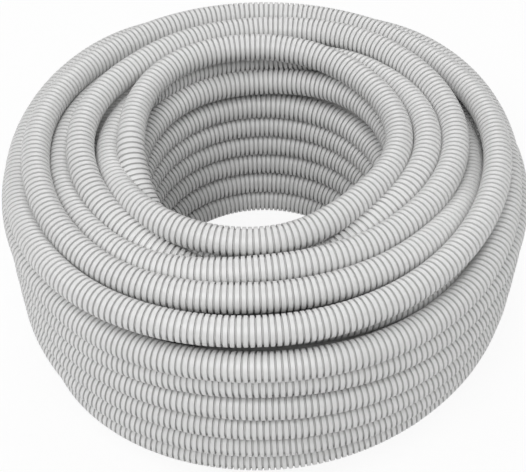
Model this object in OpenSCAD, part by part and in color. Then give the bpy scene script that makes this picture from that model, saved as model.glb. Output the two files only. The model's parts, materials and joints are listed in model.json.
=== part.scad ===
// Coil of corrugated conduit, lying on its end.
// The turns are nested, so each layer's turns lie in the hollows of the layer inside it.
// The coil is one turned solid, and the conduit's loose end stands off it as a real length of wavy tube.

/* [Conduit] */
// Outside diameter over the waves' crests
conduit_d = 25; // [24:0.5:26]
// Outside diameter at the bottom of the waves
root_d = 21.4; // [19.5:0.1:22]
// Inside diameter, where a cable first touches the waves
bore_d = 19; // [16:0.5:19.5]
// Thickness of the wall
wall = 0.9; // [0.6:0.1:1.1]
// Length of one wave along the conduit
wave_pitch = 5.05; // [4.8:0.05:6]
// Length of the flat top of one wave
crest_l = 3.4; // [2.8:0.1:3.6]
// Slope between a crest and the next groove, along the conduit
flank_l = 0.4; // [0.3:0.1:0.5]

/* [Coil] */
// Radius of the innermost turns, to the middle of the conduit
inner_r = 121; // [110:1:122]
// Rows of turns in the bore of the coil, below the top turn
inner_rows = 7; // [6:1:7]
// Distance from row to row in the bore
inner_pitch = 26.9; // [26:0.1:27.5]
// Radius of the outermost turns, to the middle of the conduit
outer_r = 227.8; // [226:0.1:232]
// Rows of turns on the outside of the coil, below the top turns
outer_rows = 5; // [4:1:5]
// Distance from row to row on the outside
outer_pitch = 26; // [25.5:0.1:26.5]
// Depth of the first outside row below the top of the coil, middle to middle
outer_drop = 56.3; // [54:0.1:58]

/* [Loose end] */
// Open waves on the straight loose end
end_waves = 12; // [8:1:13]
// Direction round the coil in which the loose end leaves it
end_az = 180; // [170:1:190]
// Length of the loose end between the turns, up to where it stands clear of them
sunk_l = 115; // [112:1:120]
// Distance of the loose end from the coil's axis
end_r = 200.75; // [198:0.25:204]
// Height of the loose end above the floor, to its middle
end_z = 33; // [30:1:34]

/* [Hidden] */
$fn = 64;
conduit_r = conduit_d / 2;
overlap = 1;
// Turns in the middle of the two ends, from the bore outwards, as [radius, depth below the top turn]
top_turns = [[118.5, 0], [137.8, 14.3], [159.8, 4], [180.8, 17.5], [203.3, 8.5], [216, 32.8]];
bottom_turns = [[142, 196.3], [162, 208], [181.3, 192.5], [202.5, 174.5]];
lowest = bottom_turns[1][1];
coil_h = lowest + conduit_d;

// Middle of a turn in the coil's half section, as [radius, height]
function placed(turn) = [turn[0], coil_h - conduit_r - turn[1]];

// Middles of the turns that bound the section: out along the top, down the outside,
// in along the bottom and up the bore
function outline() = [for (turn = concat(
    top_turns,
    [for (row = [0 : outer_rows - 1]) [outer_r, outer_drop + row * outer_pitch]],
    [for (i = [len(bottom_turns) - 1 : -1 : 0]) bottom_turns[i]],
    [for (row = [0 : inner_rows - 1]) [inner_r, lowest - row * inner_pitch]]
)) placed(turn)];

// Half section of the coil: the bounding turns, and everything between them
module coil_section() {
    polygon(outline());
    for (middle = outline())
        translate(middle) circle(conduit_r);
}

// Half section of the wavy wall, with the conduit's axis along +Y and its cut end at the top
module wave_section(waves) {
    lift = (wave_pitch - crest_l - 2 * flank_l) / 2;
    crest_in = conduit_r - wall;
    function wave(i, low, high) = [
        [low, i * wave_pitch],
        [low, i * wave_pitch + lift],
        [high, i * wave_pitch + lift + flank_l],
        [high, i * wave_pitch + lift + flank_l + crest_l],
        [low, (i + 1) * wave_pitch - lift]
    ];
    outer = [for (i = [0 : waves - 1]) each wave(i, root_d / 2, conduit_r)];
    inner = [for (i = [0 : waves - 1]) each wave(i, bore_d / 2, crest_in)];
    top = waves * wave_pitch;
    polygon(concat(
        outer,
        [[root_d / 2, top], [bore_d / 2, top]],
        [for (i = [len(inner) - 1 : -1 : 0]) inner[i]]
    ));
}

// Loose end: a plain stretch that comes out from between the turns, then open waves
module loose_end() {
    cylinder(h = sunk_l + overlap, d = (conduit_d + root_d) / 2);
    translate([0, 0, sunk_l])
        rotate_extrude() wave_section(end_waves);
}

module conduit() {
    color("gainsboro") union() {
        rotate_extrude() coil_section();
        rotate([0, 0, end_az])
            translate([end_r, 0, end_z])
                rotate([90, 0, 0]) loose_end();
    }
}

conduit();
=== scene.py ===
import json
import math

import bmesh
import bpy
from mathutils import Matrix, Vector


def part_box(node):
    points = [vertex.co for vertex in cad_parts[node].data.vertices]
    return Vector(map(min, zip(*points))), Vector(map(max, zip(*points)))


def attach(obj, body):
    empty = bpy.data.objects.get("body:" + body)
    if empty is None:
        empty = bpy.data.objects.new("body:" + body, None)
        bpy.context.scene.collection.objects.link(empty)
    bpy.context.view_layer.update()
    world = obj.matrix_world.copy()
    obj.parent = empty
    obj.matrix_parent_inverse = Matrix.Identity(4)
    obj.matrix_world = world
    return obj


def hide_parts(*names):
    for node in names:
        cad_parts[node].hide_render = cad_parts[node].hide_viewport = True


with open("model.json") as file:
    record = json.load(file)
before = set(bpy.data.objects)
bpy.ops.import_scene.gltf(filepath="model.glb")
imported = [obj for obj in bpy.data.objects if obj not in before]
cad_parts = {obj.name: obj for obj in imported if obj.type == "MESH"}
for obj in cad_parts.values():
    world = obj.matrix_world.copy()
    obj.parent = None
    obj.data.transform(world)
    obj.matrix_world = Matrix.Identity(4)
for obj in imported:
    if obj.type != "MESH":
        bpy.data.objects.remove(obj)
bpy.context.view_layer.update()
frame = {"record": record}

# The conduit's radius comes from the mount on the loose end, and the coil's height from its box.
looseEnd = frame["record"]["mounts"][0]
conduitR = looseEnd["dims"]["r_mm"] / 1000
conduitD = 2 * conduitR
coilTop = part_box("conduit")[1][2]


# Where the conduit runs. A station is a radius and a drop below the top turn, in conduit diameters.
# Each turn has one every eighth of the way round, clockwise seen from above: left, back, right, front.
winding = {
    "stationsPerTurn": 8,
    "stepsPerStation": 12,
    "riseShares": (0.25, 0.75),     # of the way up to the next row, at an inner row's last two stations
    "tipPastMount": 0.030,          # from the mount on the loose end to its cut tip, in metres
}
# The innermost turns lie level, row on row, and rise a row on their way round the front.
rowDrops = [8.32, 7.30, 6.20, 5.10, 4.05, 3.00]
rowLean = [-0.20, -0.08, 0.00, 0.00, 0.00, 0.00]     # the lowest rows lean into the hole
rowRadii = [4.84, 4.90, 4.80, 4.88, 4.84, 4.80, 4.80, 4.82]
risingTurn = [(4.82, 1.72), (4.84, 1.66), (4.80, 1.74), (4.84, 1.34),
              (4.82, 1.22), (4.80, 1.10), (4.78, 1.02), (4.86, 1.10)]
topTurns = [
    [(4.75, 0.00), (5.05, 0.00), (4.80, 0.00), (4.66, 0.00),
     (4.72, 0.00), (4.34, 0.00), (4.80, 0.00), (5.25, 0.10)],
    [(5.56, 0.62), (5.36, 0.92), (5.45, 1.08), (5.60, 0.48),
     (5.73, 0.05), (5.16, 0.38), (5.33, 1.38), (6.06, 0.48)],
    [(6.54, 0.05), (6.14, 0.15), (6.36, 0.45), (6.58, 0.15),
     (6.71, 0.05), (6.08, 0.05), (5.96, 0.05), (6.98, 0.35)],
    [(7.29, 0.72), (6.96, 1.10), (7.15, 1.42), (7.18, 1.30),
     (7.34, 1.02), (7.10, 0.12), (7.07, 0.05), (7.93, 0.05)],
    [(8.07, 0.08), (7.77, 0.57), (7.95, 1.00), (7.93, 0.70),
     (8.14, 0.08), (8.16, 0.04), (8.39, 0.03), (8.95, 0.20)],
    [(8.72, 0.88), (8.64, 1.22), (8.42, 1.88), (8.80, 1.28),
     (8.62, 1.00), (8.90, 1.20), (8.98, 1.13), (9.02, 1.80)],
]
wallTurns = [
    [(9.04, 1.92), (9.00, 2.15), (9.00, 2.65), (9.02, 2.35),
     (9.02, 1.95), (9.00, 2.20), (8.95, 2.03), (9.02, 2.78)],
    [(8.97, 2.92), (9.02, 3.15), (9.05, 3.65), (9.05, 3.38),
     (8.97, 3.05), (9.08, 3.35), (9.06, 3.22), (9.08, 3.72)],
    [(8.95, 3.95), (9.04, 4.15), (9.10, 4.65), (9.06, 4.40),
     (8.95, 4.10), (9.10, 4.35), (9.10, 4.38), (9.10, 4.78)],
    [(8.93, 4.95), (9.02, 5.13), (9.08, 5.63), (9.04, 5.40),
     (8.93, 5.15), (9.08, 5.27), (9.08, 5.52), (9.08, 5.90)],
    [(8.92, 5.95), (8.98, 6.08), (9.00, 6.60), (8.98, 6.40),
     (8.92, 6.15), (8.94, 6.17), (9.00, 6.56), (8.94, 6.90)],
]
# The bottom layer, inwards to outwards. Its last turn is under the wall and passes over the loose end.
bottomTurns = [
    [(5.68, 7.85)] * winding["stationsPerTurn"],
    [(6.48, 8.32)] * winding["stationsPerTurn"],
    [(7.05, 7.45)] + [(7.25, 7.70)] * 6 + [(7.30, 7.50)],
    [(8.10, 6.47), (8.10, 6.90), (8.10, 7.15), (8.10, 7.15),
     (8.10, 7.15), (8.10, 7.15), (8.10, 7.12), (8.05, 6.62)],
]
bottomEnds = [(5.60, 7.10), (7.60, 6.10)]     # both tucked in between the layers
# The turns that show in the gaps between the top ones.
underTurns = [
    [(6.10, 1.35), (6.10, 1.55), (6.28, 1.70), (6.20, 1.30),
     (6.25, 0.95), (5.75, 1.15), (6.36, 1.25), (6.50, 1.38)],
    [(7.70, 1.75), (7.55, 1.95), (7.55, 2.15), (7.80, 1.90),
     (8.00, 1.60), (7.90, 1.20), (7.76, 0.92), (8.40, 1.15)],
]


def smoothStep(a, b, c, d, t):
    # a smooth way from b to c, where a and d are the stations before and after
    return b + 0.5 * t * (c - a + t * (2 * a - 5 * b + 4 * c - d + t * (3 * (b - c) + d - a)))


def coilPoint(radius, drop, turns):
    angle = math.pi - turns * math.tau
    reach = radius * conduitD
    drop = min(max(drop, 0), rowDrops[0])      # the smooth way may pass the top or the floor
    return Vector((reach * math.cos(angle), reach * math.sin(angle), coilTop - conduitR - drop * conduitD))


def wind(stations, firstStation):
    ends = [stations[0]] + stations + [stations[-1]]
    steps = winding["stepsPerStation"]
    points = []
    for i in range(len(stations) - 1):
        for step in range(steps):
            t = step / steps
            radius, drop = (smoothStep(*(ends[i + k][axis] for k in range(4)), t) for axis in (0, 1))
            points.append(coilPoint(radius, drop, (firstStation + i + t) / winding["stationsPerTurn"]))
    last = firstStation + len(stations) - 1
    return points + [coilPoint(*stations[-1], last / winding["stationsPerTurn"])]


def innerStations():
    # each row is level for five eighths of the way round, then rises to the next
    stations = []
    firstShare, lastShare = winding["riseShares"]
    for drop, above, lean in zip(rowDrops, rowDrops[1:] + [risingTurn[0][1]], rowLean):
        rise = above - drop
        stations += [(radius + lean, drop) for radius in rowRadii[:-2]]
        stations += [(rowRadii[-2] + lean, drop + rise * firstShare),
                     (rowRadii[-1], drop + rise * lastShare)]
    return stations + risingTurn


def mainRoute():
    stations = innerStations()
    for turn in topTurns + wallTurns:
        stations += turn
    tailMiddle = Vector(looseEnd["pos_m"])
    tailRadius = -tailMiddle.x / conduitD
    tailDrop = (coilTop - conduitR - tailMiddle.z) / conduitD
    route = wind(stations + [(tailRadius, tailDrop)], 0)
    tip = tailMiddle + Vector(looseEnd["axis"]) * winding["tipPastMount"]
    leave = route[-1]
    steps = winding["stepsPerStation"]
    return route + [leave.lerp(tip, (step + 1) / steps) for step in range(steps)]


def bottomRoute():
    stations = bottomEnds[:1]
    for turn in bottomTurns:
        stations += turn
    return wind(stations + bottomEnds[1:], -1)


def underRoute():
    return wind([station for turn in underTurns for station in turn] + underTurns[-1][-1:], 0)


def evenSteps(points, step):
    # the same route with a point at every wave, counted from its far end so that the tip stays put
    lengths = [0.0]
    for a, b in zip(points, points[1:]):
        lengths.append(lengths[-1] + (b - a).length)
    count = int(lengths[-1] / step)
    spare = lengths[-1] - count * step
    even, at = [], 0
    for i in range(count + 1):
        target = min(spare + i * step, lengths[-1])
        while at < len(points) - 2 and lengths[at + 1] < target:
            at += 1
        share = (target - lengths[at]) / (lengths[at + 1] - lengths[at])
        even.append(points[at].lerp(points[at + 1], share))
    return even


# The conduit's wall, one wave long.
wave = {
    "pitch": 0.00505,
    "sides": 18,
    "grooveDepth": 0.0019,
    "grooveFloor": 0.20,    # this and the crest's width are shares of the pitch
    "crestWidth": 0.62,
    "boreR": 0.0095,
    "wallThickness": 0.0009,
    "sharpAngle": math.radians(35),
    "mergeDistance": 0.00002,
    "mostWaves": 1200,      # in one run, to keep its mesh a fair size
    "openWaves": 30,        # in the hollow run at the loose end
}


def outerProfile():
    # share of the wave's length and radius, ring by ring, from one groove's floor to the next
    low = conduitR - wave["grooveDepth"]
    floor, crest = wave["grooveFloor"] / 2, (1 - wave["crestWidth"]) / 2
    return [(floor, low), (crest, conduitR), (1 - crest, conduitR), (1 - floor, low), (1 + floor, low)]


def innerProfile():
    low = wave["boreR"]
    high = conduitR - wave["wallThickness"]
    floor, crest = wave["grooveFloor"] / 2, (1 - wave["crestWidth"]) / 2
    return [(floor, low), (crest, high), (1 - crest, high), (1 - floor, low), (1 + floor, low)]


def addSkin(mesh, uv, profile):
    # a ring in the first groove, extruded from ring to ring along X
    ring = bmesh.ops.create_circle(mesh, segments=wave["sides"], radius=1,
                                   matrix=Matrix.Rotation(math.pi / 2, 4, "Y"))["verts"]
    edges = list({edge for vert in ring for edge in vert.link_edges})
    bmesh.ops.scale(mesh, vec=(1, profile[0][1], profile[0][1]), verts=ring)
    bmesh.ops.translate(mesh, vec=(profile[0][0] * wave["pitch"], 0, 0), verts=ring)
    for (fromX, fromR), (toX, toR) in zip(profile, profile[1:]):
        made = bmesh.ops.extrude_edge_only(mesh, edges=edges)["geom"]
        ring = [item for item in made if isinstance(item, bmesh.types.BMVert)]
        edges = [item for item in made if isinstance(item, bmesh.types.BMEdge)]
        bmesh.ops.translate(mesh, vec=((toX - fromX) * wave["pitch"], 0, 0), verts=ring)
        bmesh.ops.scale(mesh, vec=(1, toR / fromR, toR / fromR), verts=ring)
        for face in (item for item in made if isinstance(item, bmesh.types.BMFace)):
            centre = face.calc_center_median()
            middle = math.atan2(centre.z, centre.y) / math.tau
            for loop in face.loops:
                around = math.atan2(loop.vert.co.z, loop.vert.co.y) / math.tau
                around += round(middle - around)
                loop[uv].uv = (loop.vert.co.x / wave["pitch"], around)


def buildWave(name, profiles):
    mesh = bmesh.new()
    uv = mesh.loops.layers.uv.new("waves")
    for profile in profiles:
        addSkin(mesh, uv, profile)
    data = bpy.data.meshes.new(name)
    mesh.to_mesh(data)
    mesh.free()
    piece = bpy.data.objects.new(name, data)
    bpy.context.collection.objects.link(piece)
    return piece


def applyModifiers(piece):
    settled = bpy.data.meshes.new_from_object(piece.evaluated_get(bpy.context.evaluated_depsgraph_get()))
    settled.name = piece.name
    piece.modifiers.clear()
    piece.data = settled


def closeEnds(piece, profiles):
    # plain runs get a cap at each end, and the hollow run a rim from its outer to its inner skin
    mesh = bmesh.new()
    mesh.from_mesh(piece.data)
    openEdges = [edge for edge in mesh.edges if edge.is_boundary]
    if len(profiles) == 1:
        bmesh.ops.holes_fill(mesh, edges=openEdges, sides=0)
    else:
        bmesh.ops.bridge_loops(mesh, edges=openEdges)
    bmesh.ops.recalc_face_normals(mesh, faces=mesh.faces)
    for face in mesh.faces:
        face.smooth = len(face.verts) < 5      # the caps stay flat
    for edge in mesh.edges:
        edge.smooth = edge.calc_face_angle(0) < wave["sharpAngle"]
    mesh.to_mesh(piece.data)
    mesh.free()


def bendRun(name, points, profiles):
    # one wave, repeated along X, then bent along the route
    line = bpy.data.curves.new(name + "Line", "CURVE")
    line.dimensions = "3D"
    line.twist_mode = "Z_UP"
    spline = line.splines.new("POLY")
    spline.points.add(len(points) - 1)
    for spot, point in zip(spline.points, points):
        spot.co = (*point, 1)
    guide = bpy.data.objects.new(name + "Line", line)
    bpy.context.collection.objects.link(guide)
    length = sum((b - a).length for a, b in zip(points, points[1:]))
    piece = buildWave(name, profiles)
    waves = len(points) - 1
    piece.data.transform(Matrix.Scale(length / waves / wave["pitch"], 4, (1, 0, 0)))
    repeat = piece.modifiers.new("waves", "ARRAY")
    repeat.count = waves
    repeat.use_relative_offset = False
    repeat.use_constant_offset = True
    repeat.constant_offset_displace = (length / waves, 0, 0)
    repeat.use_merge_vertices = True
    repeat.merge_threshold = wave["mergeDistance"]
    repeat.offset_u = 1
    bend = piece.modifiers.new("route", "CURVE")
    bend.object = guide
    applyModifiers(piece)
    bpy.data.objects.remove(guide)
    closeEnds(piece, profiles)
    return piece


def buildRuns(name, route):
    # a long route in runs of equal length
    waves = len(route) - 1
    runs = math.ceil(waves / wave["mostWaves"])
    pieces = []
    for run in range(runs):
        first, last = waves * run // runs, waves * (run + 1) // runs
        pieces.append(bendRun(name + str(run + 1), route[first:last + 1], [outerProfile()]))
    return pieces


# A plain filling for the hidden turns, well inside the turns that are seen.
filling = {
    "section": [        # radius and drop, corner by corner
        (5.15, 1.85), (6.80, 1.75), (8.30, 2.10), (8.70, 2.60), (8.62, 5.80), (7.50, 6.40),
        (7.00, 7.00), (5.30, 7.60), (5.15, 7.40),
    ],
    "sides": 96,
    "mergeDistance": 0.00001,
}


def buildFilling():
    mesh = bmesh.new()
    corners = [mesh.verts.new(coilPoint(radius, drop, 0)) for radius, drop in filling["section"]]
    edges = [mesh.edges.new(pair) for pair in zip(corners, corners[1:] + corners[:1])]
    bmesh.ops.spin(mesh, geom=corners + edges, cent=(0, 0, 0), axis=(0, 0, 1),
                   angle=math.tau, steps=filling["sides"], use_merge=True)
    bmesh.ops.remove_doubles(mesh, verts=mesh.verts, dist=filling["mergeDistance"])
    bmesh.ops.recalc_face_normals(mesh, faces=mesh.faces)
    data = bpy.data.meshes.new("innerTurns")
    mesh.to_mesh(data)
    mesh.free()
    piece = bpy.data.objects.new("innerTurns", data)
    bpy.context.collection.objects.link(piece)
    return piece


class Value:
    # a shader socket that can be added, multiplied and so on
    def __init__(self, tree, socket):
        self.tree = tree
        self.socket = socket

    def maths(self, operation, first, second):
        step = self.tree.nodes.new("ShaderNodeMath")
        step.operation = operation
        for socket, value in zip(step.inputs, (first, second)):
            if isinstance(value, Value):
                self.tree.links.new(value.socket, socket)
            else:
                socket.default_value = value
        return Value(self.tree, step.outputs[0])

    def __add__(self, other):
        return self.maths("ADD", self, other)

    def __sub__(self, other):
        return self.maths("SUBTRACT", self, other)

    def __rsub__(self, other):
        return self.maths("SUBTRACT", other, self)

    def __mul__(self, other):
        return self.maths("MULTIPLY", self, other)

    __radd__ = __add__
    __rmul__ = __mul__


class Finish:
    # one material and the nodes that it is made of
    def __init__(self, name):
        self.material = bpy.data.materials.new(name)
        self.material.use_nodes = True
        self.tree = self.material.node_tree
        self.shader = self.tree.nodes["Principled BSDF"]

    def node(self, kind, settings=None, output=0, **inputs):
        # an input goes by its name, or by _ and its place in the node's list
        made = self.tree.nodes.new(kind)
        for setting, value in (settings or {}).items():
            setattr(made, setting, value)
        for name, value in inputs.items():
            self.feed(made.inputs[int(name[1:]) if name[1:].isdigit() else name], value)
        return Value(self.tree, made.outputs[output])

    def feed(self, socket, value):
        if isinstance(value, Value):
            self.tree.links.new(value.socket, socket)
        else:
            socket.default_value = value

    def set(self, **inputs):
        for name, value in inputs.items():
            self.feed(self.shader.inputs[name.replace("_", " ")], value)


greyPvc = {
    "colour": (0.680, 0.680, 0.676, 1),
    # painted shade: the grooves are painted this darker grey to stand in for the shade deep inside them
    "paintedGrooveShade": (0.30, 0.30, 0.295, 1),
    "grooveSpan": (0.26, 0.40),     # the painted groove shade starts and is full, in waves from a crest's middle
    "grooveShadeOnTop": 0.45,              # how much of the painted groove shade shows on top of a turn
    "grooveShadeBelow": 1.0,               # and on its underside
    "grooveShadeSpan": (0.35, -0.45),      # where it changes, from 1 on top to -1 below
    "driftScale": 11.0,
    "driftSwing": 0.20,             # how far the colour drifts from place to place
    "mottleScale": 140.0,
    "mottleHeight": 0.00004,
    "seamSpan": (0.022, 0.004),     # from a mould seam's edge to its line, in half turns round the conduit
    "seamHeight": 0.00006,
    "bumpStrength": 0.6,
    "roughness": 0.42,
    "roughnessSwing": 0.10,
    "grooveRoughness": 0.15,        # added in the grooves
}


def makeGreyPvc():
    finish = Finish("greyPvc")
    coords = finish.node("ShaderNodeTexCoord", output=3)     # the object's own coordinates
    route = finish.node("ShaderNodeUVMap", {"uv_map": "waves"})
    along = finish.node("ShaderNodeSeparateXYZ", Vector=route)
    around = finish.node("ShaderNodeSeparateXYZ", output=1, Vector=route)
    # groove is 0 on a crest and 1 at the bottom of a groove
    inWave = finish.node("ShaderNodeMath", {"operation": "FRACT"}, _0=along)
    fromMiddle = finish.node("ShaderNodeMath", {"operation": "ABSOLUTE"}, _0=inWave - 0.5)
    start, full = greyPvc["grooveSpan"]
    groove = finish.node("ShaderNodeMapRange", {"interpolation_type": "SMOOTHSTEP"},
                         Value=fromMiddle, _1=start, _2=full)
    # the mould leaves a fine seam along each side
    aroundTwice = finish.node("ShaderNodeMath", {"operation": "FRACT"}, _0=around * 2 + 0.5)
    fromSeam = finish.node("ShaderNodeMath", {"operation": "ABSOLUTE"}, _0=aroundTwice - 0.5)
    start, full = greyPvc["seamSpan"]
    seam = finish.node("ShaderNodeMapRange", {"interpolation_type": "SMOOTHSTEP"},
                       Value=fromSeam, _1=start, _2=full)
    mottle = finish.node("ShaderNodeTexNoise", Vector=coords, Scale=greyPvc["mottleScale"], Detail=3.0)
    drift = finish.node("ShaderNodeTexNoise", Vector=coords, Scale=greyPvc["driftScale"], Detail=2.0)
    # painted shade: the grooves are painted darker on the underside of a turn, where less light falls
    facingUp = finish.node("ShaderNodeMath", {"operation": "SINE"}, _0=around * math.tau)
    start, full = greyPvc["grooveShadeSpan"]
    grooveShadeStrength = finish.node("ShaderNodeMapRange", {"interpolation_type": "SMOOTHSTEP"}, Value=facingUp,
                       _1=start, _2=full, _3=greyPvc["grooveShadeOnTop"], _4=greyPvc["grooveShadeBelow"])
    # painted shade in the grooves, plus a random drift of the grey's own tone
    paintedShadeAndDrift = groove * grooveShadeStrength + (drift - 0.5) * greyPvc["driftSwing"]
    colour = finish.node("ShaderNodeMix", {"data_type": "RGBA", "clamp_factor": True}, output=2,
                         _0=paintedShadeAndDrift, _6=greyPvc["colour"], _7=greyPvc["paintedGrooveShade"])
    relief = seam * greyPvc["seamHeight"] + mottle * greyPvc["mottleHeight"]
    bump = finish.node("ShaderNodeBump", Height=relief, Distance=1.0, Strength=greyPvc["bumpStrength"])
    uneven = (mottle - 0.5) * greyPvc["roughnessSwing"]
    finish.set(Base_Color=colour, Normal=bump,
               Roughness=uneven + groove * greyPvc["grooveRoughness"] + greyPvc["roughness"])
    return finish.material


stage = {
    "floorColour": (0.90, 0.90, 0.90, 1),
    "floorSize": 12.0,
    "floorRoughness": 0.9,
    "floorGlow": 0.90,      # how much of its white is its own, the rest being lit and shaded
    "skyStrength": 0.13,
}
# Soft round lamps, all turned to the coil's middle: place, size across and watts.
lamps = {
    "key": ((-0.28, -1.12, 2.08), 1.4, 27.5),
    "front": ((0.00, -1.65, 1.60), 1.0, 5.5),
    "leftSide": ((-1.70, -0.20, 1.50), 1.4, 12.5),
    "rightSide": ((1.70, -0.10, 1.50), 1.4, 12.5),
    "behind": ((0.00, 1.70, 1.50), 1.4, 13),
}


def makeFloor():
    mesh = bmesh.new()
    bmesh.ops.create_grid(mesh, x_segments=1, y_segments=1, size=stage["floorSize"] / 2)
    data = bpy.data.meshes.new("floor")
    mesh.to_mesh(data)
    mesh.free()
    floor = bpy.data.objects.new("floor", data)
    bpy.context.collection.objects.link(floor)
    finish = Finish("paleFloor")
    finish.set(Base_Color=stage["floorColour"], Roughness=stage["floorRoughness"],
               Specular_IOR_Level=0)
    rays = finish.tree.nodes.new("ShaderNodeLightPath").outputs
    glow = finish.node("ShaderNodeEmission", Color=(1, 1, 1, 1), Strength=1.0)
    shown = Value(finish.tree, rays["Is Camera Ray"]) + Value(finish.tree, rays["Is Glossy Ray"])
    mix = finish.node("ShaderNodeMixShader", _0=shown * stage["floorGlow"],
                      _1=Value(finish.tree, finish.shader.outputs[0]), _2=glow)
    finish.tree.links.new(mix.socket, finish.tree.nodes["Material Output"].inputs["Surface"])
    data.materials.append(finish.material)


def makeSky():
    world = bpy.data.worlds.new("softSky")
    bpy.context.scene.world = world
    world.use_nodes = True
    tree = world.node_tree
    light = tree.nodes["Background"]
    light.inputs["Color"].default_value = (1, 1, 1, 1)
    light.inputs["Strength"].default_value = stage["skyStrength"]
    white = tree.nodes.new("ShaderNodeBackground")
    white.inputs["Color"].default_value = (1, 1, 1, 1)
    white.inputs["Strength"].default_value = 1.0
    rays = tree.nodes.new("ShaderNodeLightPath")
    mix = tree.nodes.new("ShaderNodeMixShader")
    tree.links.new(rays.outputs["Is Camera Ray"], mix.inputs[0])
    tree.links.new(light.outputs[0], mix.inputs[1])
    tree.links.new(white.outputs[0], mix.inputs[2])
    tree.links.new(mix.outputs[0], tree.nodes["World Output"].inputs["Surface"])


def addLamp(name, place, size, watts):
    lamp = bpy.data.lights.new(name, "AREA")
    lamp.shape = "DISK"
    lamp.size = size
    lamp.energy = watts
    holder = bpy.data.objects.new(name, lamp)
    bpy.context.collection.objects.link(holder)
    holder.location = place
    aim = Vector((0, 0, coilTop / 2)) - Vector(place)
    holder.rotation_euler = aim.to_track_quat("-Z", "Y").to_euler()


view = {
    "distance": 42.6,               # from the middle of the top end, in conduit diameters
    "elevation": 45.0,              # of the camera seen from there, in degrees
    "pitch": 49.7,                  # how far the camera looks down
    "yaw": -0.17,                   # and how far to the right
    "focalLength": 1202 / 526,      # in widths of the frame
    "sensorWidth": 36,
    "clipEnd": 100,
}


def makeCamera():
    data = bpy.data.cameras.new("camera")
    data.sensor_width = view["sensorWidth"]
    data.lens = view["focalLength"] * data.sensor_width
    data.clip_end = view["clipEnd"]
    camera = bpy.data.objects.new("camera", data)
    bpy.context.collection.objects.link(camera)
    elevation = math.radians(view["elevation"])
    away = view["distance"] * conduitD
    camera.location = (0, -away * math.cos(elevation), coilTop - conduitR + away * math.sin(elevation))
    camera.rotation_euler = (math.pi / 2 - math.radians(view["pitch"]), 0, -math.radians(view["yaw"]))
    bpy.context.scene.camera = camera


def dress(piece, material):
    piece.data.materials.clear()
    piece.data.materials.append(material)
    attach(piece, "root")
    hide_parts("conduit")


print("stage and camera")
makeFloor()
makeSky()
for name, (place, size, watts) in lamps.items():
    addLamp(name, place, size, watts)
makeCamera()
bpy.context.scene.view_settings.view_transform = "Standard"

print("routes")
pitch = wave["pitch"]
mainLine = evenSteps(mainRoute(), pitch)
split = len(mainLine) - 1 - wave["openWaves"]
print("waves on the main route", len(mainLine) - 1)

print("conduit")
pvc = makeGreyPvc()
pieces = buildRuns("turns", mainLine[:split + 1])
pieces.append(bendRun("looseEnd", mainLine[split:], [outerProfile(), innerProfile()]))
pieces += buildRuns("bottomTurns", evenSteps(bottomRoute(), pitch))
pieces += buildRuns("underTurns", evenSteps(underRoute(), pitch))
pieces.append(buildFilling())
for piece in pieces:
    dress(piece, pvc)
